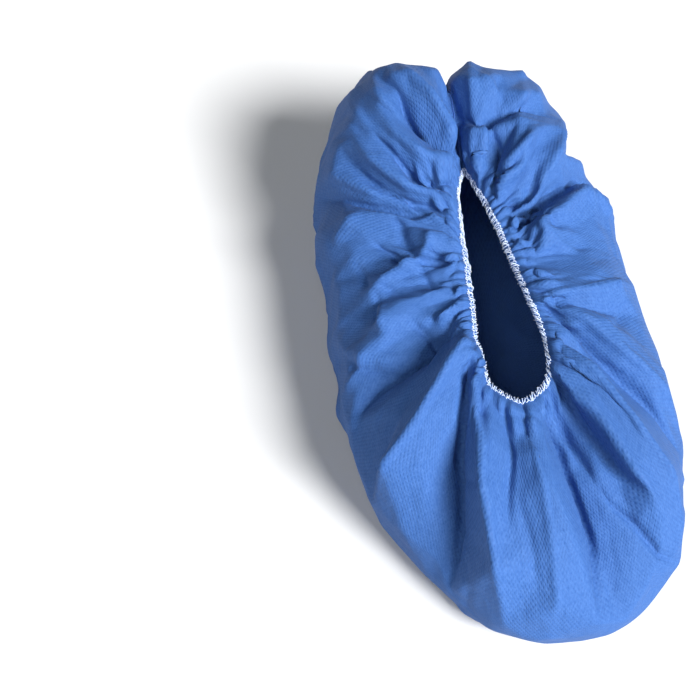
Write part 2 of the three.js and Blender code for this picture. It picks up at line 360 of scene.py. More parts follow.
# deep and pale are the ends of the colour's range, and pitch is from one bond point to the next along
# the cloth's cut edge, in metres
coverLook = {
    "deep": (0.028, 0.094, 0.300), "pale": (0.058, 0.148, 0.400), "pointTint": (0.83, 0.88, 0.94),
    "pitch": 0.0020, "crease": 0.30, "facet": 4.8, "rough": 0.76, "bump": 0.58, "bumpDepth": 0.0004,
    "gloss": 0.18, "sheen": 0.03,
}
soleLook = {
    "deep": (0.060, 0.165, 0.500), "pale": (0.085, 0.210, 0.600), "pointTint": (0.75, 0.8, 0.9),
    "pitch": 0.0036, "crease": 0.5, "facet": 2.0, "rough": 0.7, "bump": 0.5, "bumpDepth": 0.0004,
    "gloss": 0.2, "sheen": 0.0,
}
seamLook = {
    "deep": (0.045, 0.120, 0.400), "pale": (0.080, 0.190, 0.540), "pointTint": (0.7, 0.8, 0.9),
    "pitch": 0.0020, "crease": 0.3, "facet": 0.5, "rough": 0.7, "bump": 0.6, "bumpDepth": 0.0004,
    "gloss": 0.3, "sheen": 0.1,
}
threadLook = {"deep": (0.32, 0.48, 0.84), "pale": (0.86, 0.92, 1.0), "scale": 900.0, "rough": 0.75}
elasticLook = {"deep": (0.08, 0.20, 0.56), "pale": (0.30, 0.46, 0.84), "scale": 600.0, "rough": 0.7}

coverCloth = clothMaterial("bluePolypropyleneCloth", coverLook)
soleCloth = clothMaterial("navySoleSheet", soleLook)
seamCloth = clothMaterial("blueSeamFold", seamLook)
whiteThread = threadMaterial("whiteOverlockThread", threadLook)
coveredElastic = threadMaterial("coveredElastic", elasticLook)
print("materials made")


# the cover: one gathered sheet

cover = {
    "columns": 280, "crownRows": 33, "sideRows": 9,   # points of the cloth before it is refined
    "cutGirth": 0.85, "cutDepth": 0.155, "thickness": 0.0005,
    "crownLean": 0.35, "shoulderLift": 0.014,   # the crown's pull outwards at the opening, up at the side
    "sideDrop": 0.55,         # how far down the side goes straight, as a share of its height
    "hem": 0.006,             # how far the hem is turned in on the floor
    "edgeFullness": 0.22,     # how much longer the cloth's edge is than the gathered opening
    "fullnessReach": 0.22,    # how far down that fullness goes
    "foldScale": 1.35,        # how deep all folds are beside the heights in the table
    "foldPower": 1.35, "crestPower": 1.0,             # over 1, a fold's sides are hollow
    "broadCalm": 0.24, "fineCalm": 0.08,              # how far down the folds are still kept low
    "broadReach": 4,          # crumples wider than this, mm, are folded in before the cloth is gathered
    "crest": 0.28,            # how much of a fold's height is a sharp crease along its crest
    "crestReach": 0.0030, "ridgeLimit": 0.0016,       # its half width, and its most height on a ridge
    # small folds: how many, how far down a gather goes, half a crumple's length, how high and wide, mm
    "gathers": 74, "gatherLength": (0.08, 0.30), "gatherLift": (1.3, 3.2), "gatherWidth": (1.6, 3.4),
    "crumples": 150, "crumpleLength": (0.10, 0.24), "crumpleLift": (0.5, 2.2), "crumpleWidth": (3.2, 8.0),
    # up to which draw from 0 to 1 a crumple lies where: the left side, the right side and the toe
    "crumpleRegions": [(0.42, 0.70, 0.98), (0.84, 0.02, 0.30), (1.0, 0.30, 0.70)],
    "toeGathers": 0.7,        # how large the gathers at the toe are beside the others
    # papery facets: how far apart their corners are, how far these stand in or out below and at the
    # elastic, mm, how flat they make the sides and the toe, and the share of corners kept where calm
    "facets": [
        {"spacing": 16.0, "lift": 4.2, "rimLift": 3.4, "blend": 0.95, "toeBlend": 0.9, "toeShare": 0.35},
        {"spacing": 8.5, "lift": 1.3, "rimLift": 2.6, "blend": 0.85, "toeBlend": 0.25, "toeShare": 0.5},
    ],
    "calmLift": 0.35,         # how far the corners stand out where the cloth is calm
    "tubeTop": 0.09,          # how high the cut tube's edge starts
    "seed": 7,
}
# around goes from 0 at the heel seam by the right side to 1, and down is 0 at the elastic, 1 at the
# widest line and 2 at the floor: name, around and down at the start, the middle and the end, height,
# and reach to the left and to the right of the line, looking along it from outside, mm
folds = [
    ("heel cleft", 0.0, 0.0, 0.0, 0.5, 0.0, 1.7, -9.5, 8, 5),
    ("right lobe lip", 0.016, 0.10, 0.022, 0.45, 0.016, 1.0, 2, 7, 15),
    ("right lobe top fold", 0.004, 0.27, 0.050, 0.31, 0.108, 0.70, -9.5, 4, 14),
    ("right lobe top ridge", 0.010, 0.22, 0.05, 0.24, 0.112, 0.58, 4.5, 6, 4),
    ("right lobe nose", 0.022, 0.14, 0.030, 0.20, 0.044, 0.16, 4, 7, 6),
    ("right lobe tuck", 0.050, 0.24, 0.078, 0.13, 0.110, 0.05, -9, 5, 5),
    ("right lobe tuck two", 0.118, 0.36, 0.132, 0.2, 0.112, 0.05, -10, 6, 5),
    ("right lobe pucker", 0.066, 0.05, 0.086, 0.2, 0.100, 0.42, 7, 4, 6),
    ("right lobe pleat", 0.034, 0.05, 0.040, 0.2, 0.056, 0.34, -4.5, 4, 6),
    ("right lobe edge", 0.105, 0.75, 0.128, 0.45, 0.13, 0.15, 6, 14, 4),
    ("right lobe notch", 0.120, 1.3, 0.122, 0.85, 0.134, 0.5, -13, 9, 9),
    ("right shoulder", 0.165, 0.45, 0.176, 0.85, 0.18, 1.25, 2, 14, 16),
    ("right step", 0.154, 0.85, 0.156, 0.35, 0.136, 0.06, -12, 4, 13),
    ("right panel fold", 0.166, 0.80, 0.178, 0.36, 0.215, 0.2, 5, 4, 16),
    ("right rim pleat", 0.152, 0.04, 0.160, 0.14, 0.176, 0.26, -8, 5, 4),
    ("right rim pleat two", 0.186, 0.04, 0.190, 0.12, 0.200, 0.24, -7, 5, 4),
    ("right short valley", 0.205, 0.04, 0.212, 0.2, 0.225, 0.42, -4, 7, 5),
    ("right ridge", 0.288, 0.07, 0.268, 0.33, 0.235, 0.75, 5, 20, 6),
    ("right under ridge", 0.296, 0.1, 0.282, 0.34, 0.262, 0.6, -4, 8, 10),
    ("right long valley", 0.300, 0.06, 0.332, 0.36, 0.345, 0.95, -8, 8, 30),
    ("right long ridge", 0.285, 0.15, 0.316, 0.45, 0.325, 0.95, 3.5, 20, 7),
    ("right long edge", 0.366, 0.05, 0.386, 0.42, 0.398, 0.80, 5, 26, 7),
    ("toe valley g", 0.446, 0.38, 0.436, 0.6, 0.408, 1.0, -9, 12, 6),
    ("toe valley f", 0.426, 0.04, 0.427, 0.28, 0.420, 0.56, -11, 3.5, 12),
    ("toe ridge f", 0.411, 0.03, 0.419, 0.30, 0.414, 0.62, 5, 18, 5),
    ("toe valley e", 0.446, 0.02, 0.447, 0.2, 0.446, 0.4, -5, 7, 6),
    ("toe valley d", 0.466, 0.04, 0.466, 0.34, 0.478, 0.88, -17, 24, 9),
    ("toe billow c", 0.506, 0.15, 0.503, 0.5, 0.506, 0.95, 3, 26, 14),
    ("toe crease c", 0.526, 0.26, 0.518, 0.55, 0.511, 0.8, -1.2, 3, 3),
    ("toe valley c", 0.528, 0.04, 0.529, 0.26, 0.534, 0.5, -5, 4, 3),
    ("toe pinch c", 0.502, 0.02, 0.503, 0.12, 0.505, 0.25, -5, 4, 4),
    ("toe ridge b", 0.598, 0.05, 0.553, 0.40, 0.531, 0.92, 9.5, 9, 24),
    ("toe pleat b", 0.572, 0.02, 0.566, 0.14, 0.560, 0.28, -5, 4, 5),
    ("toe hollow b", 0.618, 0.10, 0.588, 0.42, 0.570, 1.00, -14, 20, 32),
    ("toe ridge a", 0.656, 0.06, 0.633, 0.42, 0.638, 0.95, 13, 32, 13),
    ("toe hollow a", 0.668, 0.10, 0.683, 0.42, 0.686, 0.85, -10, 15, 20),
    ("toe low crease", 0.60, 0.80, 0.57, 1.0, 0.54, 1.15, -2.5, 8, 6),
    ("left dimple", 0.722, 0.34, 0.700, 0.30, 0.668, 0.2, -6, 12, 7),
    ("left cross crease", 0.738, 0.82, 0.701, 0.64, 0.676, 0.28, -4, 8, 9),
    ("left cross ridge", 0.748, 0.85, 0.714, 0.66, 0.692, 0.38, 2, 10, 12),
    ("left edge fold", 0.735, 0.78, 0.724, 0.98, 0.704, 1.20, -4, 10, 10),
    ("left bulge", 0.760, 0.55, 0.740, 0.48, 0.717, 0.50, 5, 12, 9),
    ("left star low", 0.786, 0.26, 0.775, 0.40, 0.760, 0.52, 3.5, 10, 4),
    ("left star tip", 0.790, 0.62, 0.775, 0.58, 0.760, 0.53, -4, 8, 5),
    ("left star down", 0.760, 0.53, 0.748, 0.50, 0.728, 0.55, -6, 8, 5),
    ("left star up", 0.784, 0.27, 0.808, 0.32, 0.833, 0.38, -5, 8, 5),
    ("left star rim", 0.784, 0.27, 0.781, 0.17, 0.780, 0.05, -6, 7, 4),
    ("left star side", 0.786, 0.26, 0.802, 0.22, 0.820, 0.18, 4.5, 4, 8),
    ("left star toe arm", 0.780, 0.27, 0.760, 0.25, 0.742, 0.16, -5, 7, 4),
    ("left hollow", 0.812, 0.50, 0.790, 0.42, 0.785, 0.32, -7, 14, 9),
    ("left thin fold", 0.858, 0.95, 0.836, 0.45, 0.857, 0.04, -8, 9, 3),
    ("left thin ridge", 0.870, 0.90, 0.850, 0.45, 0.864, 0.10, 3.5, 4, 8),
    ("left long fold", 0.876, 0.66, 0.850, 0.32, 0.886, 0.03, -10, 9, 4),
    ("left long ridge", 0.890, 0.62, 0.866, 0.30, 0.896, 0.06, 4.5, 5, 9),
    ("left lobe fold", 0.902, 0.50, 0.884, 0.24, 0.946, 0.04, -11, 9, 4),
    ("left lobe ridge", 0.918, 0.48, 0.905, 0.26, 0.955, 0.08, 8, 5, 8),
    ("left lobe valley", 0.938, 0.44, 0.942, 0.21, 0.982, 0.05, -12, 8, 4),
    ("left lobe crest", 0.957, 0.60, 0.962, 0.32, 0.986, 0.10, 8, 4, 9),
    ("left lobe tuck", 0.926, 0.20, 0.946, 0.14, 0.975, 0.12, -6, 5, 3),
    ("left lobe small ridge", 0.936, 0.62, 0.925, 0.48, 0.930, 0.34, 4.5, 4, 7),
    ("left lobe back", 0.925, 0.75, 0.93, 1.0, 0.93, 1.3, -2.5, 12, 10),
    ("right lobe back", 0.060, 0.80, 0.058, 1.05, 0.055, 1.4, -5, 12, 10),
    ("heel low left", 0.965, 1.0, 0.97, 1.3, 0.975, 1.7, -4, 9, 9),
    ("heel low right", 0.030, 1.05, 0.026, 1.35, 0.022, 1.7, -4, 9, 9),
    ("right side slant", 0.21, 0.95, 0.23, 1.2, 0.25, 1.6, -4, 12, 9),
    ("right side slant two", 0.30, 1.0, 0.31, 1.25, 0.315, 1.6, -3.5, 12, 9),
    ("left side slant", 0.80, 0.95, 0.785, 1.2, 0.77, 1.6, -4, 12, 9),
    ("left side slant two", 0.87, 1.0, 0.865, 1.3, 0.86, 1.6, -3.5, 10, 12),
]


def plainCover(cut):
    # the smooth form under the folds: crown, side and hem, row by row
    count = cut["columns"]
    opening = closedLine(openingLine, count)
    widest = closedLine(widestLine, count)
    foot = closedLine(footLine, count)
    around = np.arange(count) / count
    rise = aroundTable(crownRise, around)[:, None] * mm
    lift = opening + (widest - opening) * (cut["crownLean"], cut["crownLean"], 0) + up * rise * 0.75
    shoulder = widest + outwardOf(widest) * 0.002 + up * (rise + cut["shoulderLift"])
    crownShare = np.linspace(0, 1, cut["crownRows"] + 1) ** 1.15   # rows closer together at the elastic
    crown = bezier(opening, lift, shoulder, widest, crownShare)
    fall = (widest - shoulder) / np.linalg.norm(widest - shoulder, axis=1)[:, None]
    sideShare = np.linspace(0, 1, cut["sideRows"] + 1)[1:]
    belly = widest + fall * widest[:, 2:] * cut["sideDrop"]
    side = bezier(widest, belly, foot + outwardOf(foot) * 0.010, foot, sideShare)
    hem = (foot - outwardOf(foot) * cut["hem"])[None]
    down = np.concatenate([crownShare, 1 + sideShare, [2.2]])
    return np.concatenate([crown, side, hem]), down, around


def placesOn(grid, down, spots):
    # points on a grid of the cloth at pairs of around and down
    spots = np.array(spots)
    row = np.interp(spots[:, 1], down, np.arange(len(down)))
    column = (spots[:, 0] % 1) * grid.shape[1]
    above = np.minimum(row.astype(int), len(down) - 2)
    before = column.astype(int) % grid.shape[1]
    after = (before + 1) % grid.shape[1]
    drop = (row - above)[:, None]
    past = (column - column.astype(int))[:, None]
    upper = grid[above, before] * (1 - past) + grid[above, after] * past
    lower = grid[above + 1, before] * (1 - past) + grid[above + 1, after] * past
    return upper * (1 - drop) + lower * drop


def foldSpots(row, steps):
    # pairs of around and down along a curve through the fold's start, middle and end
    share = np.linspace(0, 1, steps)[:, None]
    start, middle, end = np.array(row[1:7]).reshape(3, 2)
    return (start * (1 - share) * (1 - 2 * share) + middle * 4 * share * (1 - share)
            + end * share * (2 * share - 1))


def addFold(heights, flatPoints, flatNormals, line, lift, reaches, power, fadeIn):
    # adds one fold's height to all points within reach of its line
    middle = line.mean(0)
    reach = np.linalg.norm(line - middle, axis=1).max() + max(reaches)
    near = np.nonzero(((flatPoints - middle) ** 2).sum(1) < reach * reach)[0]
    points, normals = flatPoints[near], flatNormals[near]
    best = np.full(len(near), 1e9)
    side = np.zeros(len(near))
    share = np.zeros(len(near))
    for i in range(len(line) - 1):
        step = line[i + 1] - line[i]
        along = np.clip((points - line[i]) @ step / (step @ step), 0, 1)
        away = points - line[i] - along[:, None] * step
        distance = np.linalg.norm(away, axis=1)
        nearer = distance < best
        best = np.where(nearer, distance, best)
        side = np.where(nearer, (away * np.cross(step, normals)).sum(1), side)
        share = np.where(nearer, (i + along) / (len(line) - 1), share)
    leftReach, rightReach = reaches
    reach = np.where(side > 0, rightReach, leftReach)
    ends = smoothStep(-0.05, fadeIn, share) * (1 - smoothStep(0.7, 1.03, share))
    share = np.maximum(0, 1 - best / reach)
    form = share ** power
    if lift > 0:       # valleys are sharp and ridges a little round
        form = (0.5 - 0.5 * np.cos(np.pi * share)) * 0.4 + 0.6 * form
    heights[near] += lift * ends * form


def inCalmPanel(place):
    # the toe's panels and the one beside the foot on the right are smoother than the rest
    return 0.34 < place < 0.68 or 0.19 < place < 0.29


def smallFolds(cut, rng):
    # gathers at the elastic and papery crumples, each of its own size
    rows = []
    for i in range(cut["gathers"]):
        place = (i + 0.5 + rng.uniform(-0.33, 0.33)) / cut["gathers"]
        size = cut["toeGathers"] if 0.42 < place < 0.66 else 1
        long = rng.uniform(*cut["gatherLength"]) * size
        slant = rng.normal(0, 0.010)
        lift = rng.uniform(*cut["gatherLift"]) * size
        rows.append(("gather", place, 0.0, place + slant * 0.4, long * 0.5, place + slant, long,
                     lift, rng.uniform(*cut["gatherWidth"]), rng.uniform(*cut["gatherWidth"])))
    for i in range(cut["crumples"]):
        draw = rng.random()
        low, high = next(region[1:] for region in cut["crumpleRegions"] if draw < region[0])
        place = rng.uniform(low, high)
        calm = 0.5 if 0.30 < place < 0.70 or inCalmPanel(place) else 1.0
        middle = rng.uniform(0.10, 1.5)
        long = rng.uniform(*cut["crumpleLength"])
        turn = rng.normal(0, 0.9)
        aside = math.sin(turn) * long * 0.16
        drop = math.cos(turn) * long
        lift = rng.choice([-1, 1]) * rng.uniform(*cut["crumpleLift"]) * calm
        bow = rng.normal(0, 0.004)
        rows.append(("crumple", place - aside, max(middle - drop, 0.02), place + bow, middle,
                     place + aside, min(middle + drop, 1.7),
                     lift, rng.uniform(*cut["crumpleWidth"]), rng.uniform(*cut["crumpleWidth"])))
    return rows


def heightsOf(grid, down, rows, sharp, calmReach, cut):
    # how far all the folds together lift each point off the plain form
    flatPoints = grid.reshape(-1, 3)
    flatNormals = gridNormals(grid).reshape(-1, 3)
    heights = np.zeros(len(flatPoints))
    for row in rows:
        lift = row[7] * cut["foldScale"] * mm
        reaches = (row[8] * mm, row[9] * mm)
        spots = foldSpots(row, 9)
        spots[:, 1] = np.maximum(spots[:, 1], 0)
        line = placesOn(grid, down, spots)
        fadeIn = 0.12 if row[2] < 0.3 else 0.4      # a fold that starts out in the cloth starts gently
        power = cut["foldPower"]
        if sharp:
            power = cut["crestPower"]
            reaches = [min(reach, cut["crestReach"]) for reach in reaches]
            lift = min(lift * cut["crest"], cut["ridgeLimit"])
        addFold(heights, flatPoints, flatNormals, line, lift, reaches, power, fadeIn)
    calm = 0.2 + 0.8 * smoothStep(0.0, calmReach, down)     # the edge at the elastic stays nearly level
    calm = calm * (1 - smoothStep(1.45, 1.95, down))
    return heights.reshape(grid.shape[:2]) * calm[:, None]


def facetCorners(cut, rng, size, down, at):
    # corners of the facets in the flat cloth, mm, with the fold lines as edges that no facet crosses
    girth, depth = cut["cutGirth"] / mm, cut["cutDepth"] / mm
    corners = []
    edges = []
    lifts = []
    margin = 3 * size["spacing"]
    for row in folds:
        line = foldSpots(row, 5)
        x, y = line[:, 0] * girth, np.interp(line[:, 1], down, at)
        for turn in (-girth, 0, girth):
            if x.max() + turn < -margin or x.min() + turn > girth + margin:
                continue
            edges += [(len(corners) + k, len(corners) + k + 1) for k in range(len(x) - 1)]
            corners += list(zip(x + turn, y))
            lifts += [0.0] * len(x)
    fixed = np.array(corners)
    columns, rows = int(girth / size["spacing"]), int(depth / size["spacing"]) + 3
    for r in range(rows):
        for c in range(columns):
            x = (c + 0.5 * (r % 2) + rng.uniform(-0.42, 0.42)) * girth / columns
            y = (r - 0.8 + rng.uniform(-0.42, 0.42)) * size["spacing"]
            lift, keep = rng.uniform(-1, 1), rng.random()
            calm = inCalmPanel(x / girth) and y > 0.1 * depth
            if calm and keep > size["toeShare"]:
                continue
            nearest = np.abs(fixed - (x, y)).max(axis=1).min()
            if nearest < 0.35 * size["spacing"]:      # too near a fold's line
                continue
            for turn in (-girth, 0, girth):
                if -margin < x + turn < girth + margin:
                    corners.append((x + turn, y))
                    lifts.append(lift * (cut["calmLift"] if calm else 1.0))
    return corners, edges, lifts


def paperyForm(fine, down, around, cut, rng, size):
    # stiff cloth lies in flat facets between sharp creases
    girth, depth = cut["cutGirth"] / mm, cut["cutDepth"] / mm
    at = down / down[-1] * depth
    corners, edges, lifts = facetCorners(cut, rng, size, down, at)
    points, _, faces, origin = delaunay_2d_cdt([Vector(p) for p in corners], edges, [], 0, 1e-4)[:4]
    points = np.array(points)
    spots = np.stack([points[:, 0] / girth, np.interp(points[:, 1], at, down)], 1)
    normals = gridNormals(fine)
    lift = size["rimLift"] + (size["lift"] - size["rimLift"]) * smoothStep(0.10, 0.38, spots[:, 1])
    lift = lift * np.array([lifts[first[0]] if first else 0.0 for first in origin]) * mm
    places = placesOn(fine, down, spots) + placesOn(normals, down, spots) * lift[:, None]
    flat = fine.copy()
    place = around * girth
    for face in faces:
        facet, spot = points[list(face)], places[list(face)]
        low, high = facet.min(0), facet.max(0)
        columnSpan = np.nonzero((place >= low[0]) & (place <= high[0]))[0]
        rowSpan = np.nonzero((at >= low[1]) & (at <= high[1]))[0]
        x, y = np.meshgrid(place[columnSpan] - facet[0][0], at[rowSpan] - facet[0][1])
        first, second = facet[1] - facet[0], facet[2] - facet[0]
        area = first[0] * second[1] - first[1] * second[0]
        if x.size == 0 or abs(area) < 1e-9:
            continue
        u = ((x * second[1] - y * second[0]) / area)[:, :, None]
        v = ((y * first[0] - x * first[1]) / area)[:, :, None]
        inside = (u >= 0) & (v >= 0) & (u + v <= 1)
        value = spot[0] + u * (spot[1] - spot[0]) + v * (spot[2] - spot[0])
        region = np.ix_(rowSpan, columnSpan)
        flat[region] = np.where(inside, value, flat[region])
    atToe = smoothStep(0.32, 0.38, around) * (1 - smoothStep(0.66, 0.71, around))
    blend = size["blend"] + (size["toeBlend"] - size["blend"]) * atToe
    strength = smoothStep(0.02, 0.12, down) * (1 - smoothStep(1.55, 2.0, down))
    return fine + (flat - fine) * (strength[:, None] * blend)[:, :, None]


def cutTube(grid, down, around, cut):
    # the same cloth before it was gathered: an open tube whose points are as far apart as on the cover
    atToe = smoothStep(0.36, 0.42, around) * (1 - smoothStep(0.66, 0.72, around))
    fullness = cut["edgeFullness"] * (1 - 0.6 * atToe)
    spacing = np.linalg.norm(np.roll(grid, -1, 1) - grid, axis=2)
    spacing = spacing * (1 + fullness[None, :] * (1 - smoothStep(0, cut["fullnessReach"], down))[:, None])
    girth = spacing.sum(1)
    angle = (np.cumsum(spacing, axis=1) - spacing) / girth[:, None] * 2 * np.pi
    radius = girth / (2 * np.pi)
    steps = np.linalg.norm(np.diff(grid, axis=0), axis=2)
    sideways = np.diff(angle, axis=0) * radius[1:, None]
    leastDrop = 0.15 * steps
    drop = np.sqrt(np.maximum(steps ** 2 - np.diff(radius)[:, None] ** 2 - sideways ** 2, leastDrop ** 2))
    height = cut["tubeTop"] - np.concatenate([np.zeros((1, grid.shape[1])), np.cumsum(drop, axis=0)])
    return np.stack([radius[:, None] * np.sin(angle), radius[:, None] * np.cos(angle), height], 2)


simulation = {
    "frames": 40, "settle": 15, "scale": 10, "quality": 6, "mass": 0.3, "air": 2.0,
    "stretch": 15.0, "shear": 5.0, "bend": 6.0, "damping": 5.0, "bendDamping": 0.5,
    "hold": 0.84, "toeHold": 0.93, "seamHold": 0.8,    # how firmly cloth keeps to its folded form, 0 to 1
    "heldRows": 3,     # rows held fast at the stitches and at the hem
}


def gatherCloth(grid, down, around, cut, how):
    # the cloth starts as its cut tube and is drawn in to the folded form, where it settles on its own
    rest = cutTube(grid, down, around, cut)
    rows, columns = grid.shape[:2]
    piece = addObject("gathering", rest.reshape(-1, 3) * how["scale"], bandFaces(rows, columns).tolist())
    piece.shape_key_add(name="cut")
    key = piece.shape_key_add(name="gathered")
    key.data.foreach_set("co", (grid.reshape(-1) * how["scale"]).astype(np.float32))
    for at, value in ((1, 0.0), (how["frames"] - how["settle"], 1.0)):
        key.value = value
        key.keyframe_insert("value", frame=at)
    atToe = smoothStep(0.30, 0.38, around) * (1 - smoothStep(0.68, 0.74, around))
    hold = np.tile(how["hold"] + (how["toeHold"] - how["hold"]) * atToe, (rows, 1))
    hold[:how["heldRows"]] = 1.0
    hold[-how["heldRows"]:] = 1.0
    hold[:, 0] = how["seamHold"]
    group = piece.vertex_groups.new(name="hold")
    hold = hold.round(2).reshape(-1)
    for value in np.unique(hold):
        group.add(np.nonzero(hold == value)[0].tolist(), float(value), "REPLACE")
    cloth = piece.modifiers.new("cloth", "CLOTH")
    settings = cloth.settings
    settings.quality, settings.mass, settings.air_damping = how["quality"], how["mass"], how["air"]
    settings.tension_stiffness = settings.compression_stiffness = how["stretch"]
    settings.shear_stiffness, settings.bending_stiffness = how["shear"], how["bend"]
    settings.tension_damping = settings.compression_damping = settings.shear_damping = how["damping"]
    settings.bending_damping = how["bendDamping"]
    settings.vertex_group_mass = "hold"
    settings.pin_stiffness = 1.0
    settings.effector_weights.gravity = 0
    cloth.collision_settings.use_collision = False
    cloth.point_cache.frame_start, cloth.point_cache.frame_end = 1, how["frames"]
    points = np.empty(rows * columns * 3, np.float32)
    for now in range(1, how["frames"] + 1):
        bpy.context.scene.frame_set(now)
        settled = piece.evaluated_get(bpy.context.evaluated_depsgraph_get())
        settled.data.vertices.foreach_get("co", points)
    bpy.context.scene.frame_set(1)
    bpy.data.objects.remove(piece)
    return points.reshape(rows, columns, 3).astype(float) / how["scale"]


def makeCover():
    rng = np.random.default_rng(cover["seed"])
    plain, down, around = plainCover(cover)
    small = smallFolds(cover, rng)
    broad = folds + [row for row in small if row[0] == "crumple" and min(row[8:]) > cover["broadReach"]]
    narrow = [row for row in small if row not in broad]
    heights = heightsOf(plain, down, broad, False, cover["broadCalm"], cover)
    folded = plain + gridNormals(plain) * heights[:, :, None]
    folded[:, :, 2] = np.maximum(folded[:, :, 2], floorGap * mm)
    folded = gatherCloth(folded, down, around, cover, simulation)
    print("cover gathered")
    finePlain = refined(plain)
    fine = refined(folded)
    fineDown = np.interp(np.arange(len(fine)) / 2, np.arange(len(down)), down)
    heights = heightsOf(finePlain, fineDown, narrow, False, cover["fineCalm"], cover)
    heights += heightsOf(finePlain, fineDown, folds, True, cover["fineCalm"], cover)
    fineAround = np.arange(fine.shape[1]) / fine.shape[1]
    for size in cover["facets"]:
        fine = paperyForm(fine, fineDown, fineAround, cover, rng, size)
    fine = softened(fine)
    fine = fine + gridNormals(fine) * heights[:, :, None]
    fine[:, :, 2] = np.maximum(fine[:, :, 2], 2 * floorGap * mm)     # room for the wall's thickness
    along = fineDown / fineDown[-1] * cover["cutDepth"]
    piece = sheetObject("gatheredCover", fine, cover["cutGirth"], along, coverCloth)
    addWall(piece, cover["thickness"])
    print("cover made")
    return piece, fine


coverPiece, coverGrid = makeCover()
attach(coverPiece, "root")
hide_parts("upper")


# the opening: covered elastic, with overlock stitches over the cloth's edge

edging = {
    "coreRadius": 0.0007, "coreSides": 8, "corePoints": 560, "coreShift": 0.0002,
    "stitchPitch": 0.0021, "threadRadius": 0.0002, "threadSides": 5,
    "loopOver": 0.00195, "loopUp": 0.0012,    # how far a loop reaches over the cloth and above it
    "loopIn": 0.0011, "loopRise": 0.0004,     # where its middle lies, over the cloth and above it
    "reach": (0.55, 1.3), "height": (0.7, 1.25), "loose": 0.00011, "slant": 0.35,   # from loop to loop
    "strands": [(0.0, 1.0), (0.5, 0.82)],     # how far each strand is behind the first, and its size
    "pointsPerLoop": 10,
    # the chain along the cloth: where it lies, over the cloth and above it, and how far it swings there
    "chainIn": 0.0027, "chainWave": 0.0005, "chainRise": 0.0009, "chainLift": 0.0003, "pointsPerLink": 6,
    "seed": 11,
}


def edgeFrames(grid, count):
    # evenly spaced points on the cloth's edge, the ways over the cloth and off its face, and its length
    edge = np.concatenate([grid[0], grid[0][:1]])
    run = np.concatenate([[0], np.cumsum(np.linalg.norm(np.diff(edge, axis=0), axis=1))])
    at = np.linspace(0, run[-1], count, endpoint=False)

    def spread(values):
        values = np.concatenate([values, values[:1]])
        return np.stack([np.interp(at, run, values[:, k]) for k in range(3)], 1)
    over = grid[3] - grid[0]
    over /= np.linalg.norm(over, axis=1)[:, None]
    window = np.ones(9) / 9

    def calmed(values):
        padded = np.concatenate([values[-4:], values, values[:4]])
        out = np.stack([np.convolve(padded[:, k], window, "valid") for k in range(3)], 1)
        return out / np.linalg.norm(out, axis=1)[:, None]
    return spread(grid[0]), calmed(spread(over)), calmed(spread(gridNormals(grid)[1])), run[-1]


def loopedStrand(rng, loops, strand, shift, size):
    # one thread that loops over the cloth's edge, each loop a little different
    count = loops * edging["pointsPerLoop"]
    edge, over, face = edgeFrames(coverGrid, count)[:3]
    place = np.arange(count) / edging["pointsPerLoop"]
    each = place.astype(int)
    reach = (size * rng.uniform(*edging["reach"], loops + 1))[each][:, None]
    height = (size * rng.uniform(*edging["height"], loops + 1))[each][:, None]
    turn = (place * 2 * np.pi + shift * 2 * np.pi)[:, None]
    centre = edge + over * edging["loopIn"] + face * edging["loopRise"]
    loose = rng.normal(0, edging["loose"], (count, 3))
    path = centre - over * np.cos(turn) * edging["loopOver"] * reach
    path = path + face * np.sin(turn) * edging["loopUp"] * height + loose
    ahead = np.roll(edge, -6, 0) - edge
    return path + ahead * edging["slant"] * np.sin(turn * 0.5 + strand)


def chainStitch(loops):
    # the thread that holds the loops down along the cloth
    count = loops * edging["pointsPerLink"]
    edge, over, face = edgeFrames(coverGrid, count)[:3]
    turn = (np.arange(count) / edging["pointsPerLink"] * 2 * np.pi)[:, None]
    inward = edging["chainIn"] + edging["chainWave"] * np.sin(turn)
    rise = edging["chainRise"] + edging["chainLift"] * np.cos(turn)
    return edge + over * inward + face * rise


def makeEdging():
    rng = np.random.default_rng(edging["seed"])
    edge, over, face, length = edgeFrames(coverGrid, edging["corePoints"])
    core = edge + over * edging["coreShift"] - face * edging["coreShift"]
    tube = threadTube(core, edging["coreRadius"], edging["coreSides"])
    elastic = joinedObject("coveredElastic", [tube], coveredElastic)
    loops = int(length / edging["stitchPitch"])
    paths = [loopedStrand(rng, loops, k, *strand) for k, strand in enumerate(edging["strands"])]
    paths.append(chainStitch(loops))
    threads = [threadTube(path, edging["threadRadius"], edging["threadSides"]) for path in paths]
    stitches = joinedObject("overlockStitches", threads, whiteThread)
    print("edging made with", loops, "stitches")
    return elastic, stitches


elasticPiece, stitchPiece = makeEdging()
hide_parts("opening_elastic")
for piece in (elasticPiece, stitchPiece):
    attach(piece, "root")


# the sole sheet inside, and the folded seam at the heel

sole = {
    "rings": 26, "columns": 160, "edgeIn": 0.0015, "middleHole": 0.0008, "level": 0.0007,
    "turnUp": 0.010, "turnShare": 0.07,      # how high its edge is turned up, and over what share
    "wrinkle": 0.0048, "wrinkles": 14, "wrinkleRate": (60, 190),     # height, number, radians to a metre
    "girth": 0.75, "halfWidth": 0.07,        # the weave's own size, round the edge and in to the middle
    "thickness": 0.0004, "flat": (0.142, 0.291), "area": 0.0335, "seed": 3,
}


